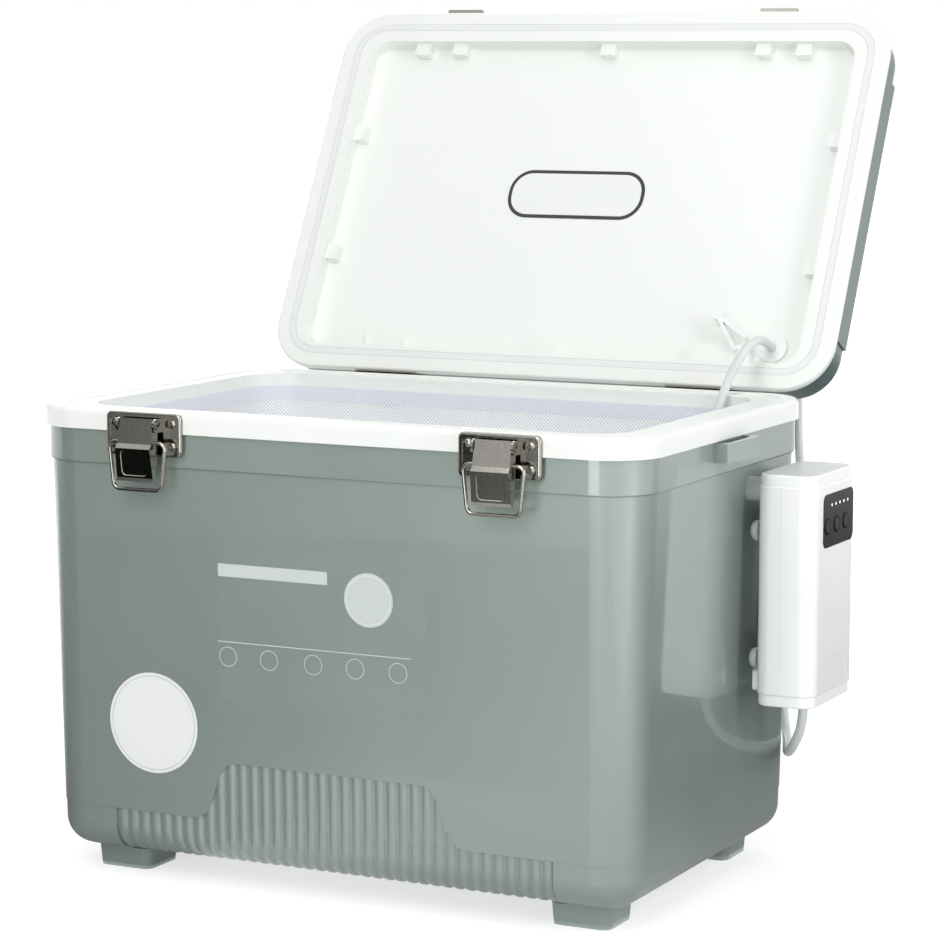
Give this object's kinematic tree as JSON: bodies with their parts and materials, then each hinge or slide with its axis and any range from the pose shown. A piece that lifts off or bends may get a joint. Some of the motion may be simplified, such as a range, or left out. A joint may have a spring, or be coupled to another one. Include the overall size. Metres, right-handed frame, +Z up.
{
  "type": "insulated bait bucket",
  "caption": "Insulated rectangular live-bait box on four feet, with a hinged lid, draw latches, a mesh net inside, and a battery air pump on one end whose hose goes through the lid.",
  "frame": {"origin": "on the ground under the centre of the tub", "axes": "+Z up, +X to the end with the air pump, the latches at -Y and the hinges at +Y"},
  "size_m": [0.4738, 0.474, 0.5485],
  "materials": {
    "tub_plastic": "satin",
    "lid_plastic": "satin",
    "white_liner": "gloss",
    "foam": "matte",
    "gasket_rubber": "matte",
    "net_mesh": "matte",
    "net_hem": "matte",
    "white_fitting": "gloss",
    "hose": "satin",
    "stone": "matte",
    "pump_white": "gloss",
    "pump_grey": "satin",
    "panel_black": "gloss",
    "button_black": "satin",
    "lamp": "gloss",
    "grey_rubber": "matte",
    "circuit_board": "satin",
    "cell_wrap": "satin",
    "pump_motor": "satin",
    "stainless": "polished"
  },
  "bodies": {
    "tub": {"air_pump_unit": "pump_motor", "air_stone": "stone", "bait_net": "net_mesh", "battery_cells": "cell_wrap", "circuit_board": "circuit_board", "control_panel": "panel_black", "hinge_leaf_tub_left": "stainless", "hinge_leaf_tub_right": "stainless", "hinge_pin_left": "stainless", "hinge_pin_right": "stainless", "hinge_screws_tub": "stainless", "hose_inner": "hose", "hose_outer": "hose", "inner_air_tube": "hose", "latch_plate_left": "stainless", "latch_plate_right": "stainless", "latch_screws": "stainless", "lever_pin_left": "stainless", "lever_pin_right": "stainless", "net_hem": "net_hem", "outer_shell": "tub_plastic", "outlet_barb": "white_fitting", "pump_bottom_cap": "pump_grey", "pump_bumpers": "grey_rubber", "pump_front_shell": "pump_white", "pump_pegs": "grey_rubber", "pump_rear_shell": "pump_white", "pump_top_cap": "pump_grey", "status_lamps": "lamp", "tub_foam": "foam", "tub_liner": "white_liner"},
    "lid": {"hinge_leaf_lid_left": "stainless", "hinge_leaf_lid_right": "stainless", "hinge_screws_lid": "stainless", "hose_clip": "white_fitting", "hose_grommet": "white_fitting", "hose_in_lid": "hose", "keeper_left": "stainless", "keeper_right": "stainless", "keeper_screws": "stainless", "lid_foam": "foam", "lid_gasket": "gasket_rubber", "lid_liner": "white_liner", "lid_shell": "lid_plastic"},
    "lever_left": {"latch_lever_left": "stainless"},
    "lever_right": {"latch_lever_right": "stainless"},
    "bail_left": {"latch_bail_left": "stainless"},
    "bail_right": {"latch_bail_right": "stainless"},
    "power_button": {"power_button": "button_black"},
    "speed_button": {"speed_button": "button_black"},
    "mode_button": {"mode_button": "button_black"}
  },
  "joints": [
    {"name": "lid_hinge", "type": "hinge", "parent": "tub", "child": "lid", "pos_m": [0, 0.151, 0.2914], "axis": [1, 0, 0], "range_deg": [0, 117.4], "deforming": ["hose_outer", "hose_inner"]},
    {"name": "lever_left_hinge", "type": "hinge", "parent": "tub", "child": "lever_left", "pos_m": [-0.1215, -0.1495, 0.2905], "axis": [1, 0, 0], "range_deg": [-120, 0]},
    {"name": "bail_left_hinge", "type": "hinge", "parent": "lever_left", "child": "bail_left", "pos_m": [-0.1215, -0.1505, 0.28], "axis": [-1, 0, 0], "range_deg": [0, 196.9]},
    {"name": "lever_right_hinge", "type": "hinge", "parent": "tub", "child": "lever_right", "pos_m": [0.1215, -0.1495, 0.2905], "axis": [1, 0, 0], "range_deg": [-120, 0]},
    {"name": "bail_right_hinge", "type": "hinge", "parent": "lever_right", "child": "bail_right", "pos_m": [0.1215, -0.1505, 0.28], "axis": [-1, 0, 0], "range_deg": [0, 196.9]},
    {"name": "power_press", "type": "slide", "parent": "tub", "child": "power_button", "axis": [-1, 0, 0], "range_m": [0, 0.0008], "stiffness_N_per_m": 600},
    {"name": "speed_press", "type": "slide", "parent": "tub", "child": "speed_button", "axis": [-1, 0, 0], "range_m": [0, 0.0008], "stiffness_N_per_m": 600},
    {"name": "mode_press", "type": "slide", "parent": "tub", "child": "mode_button", "axis": [-1, 0, 0], "range_m": [0, 0.0008], "stiffness_N_per_m": 600}
  ]
}
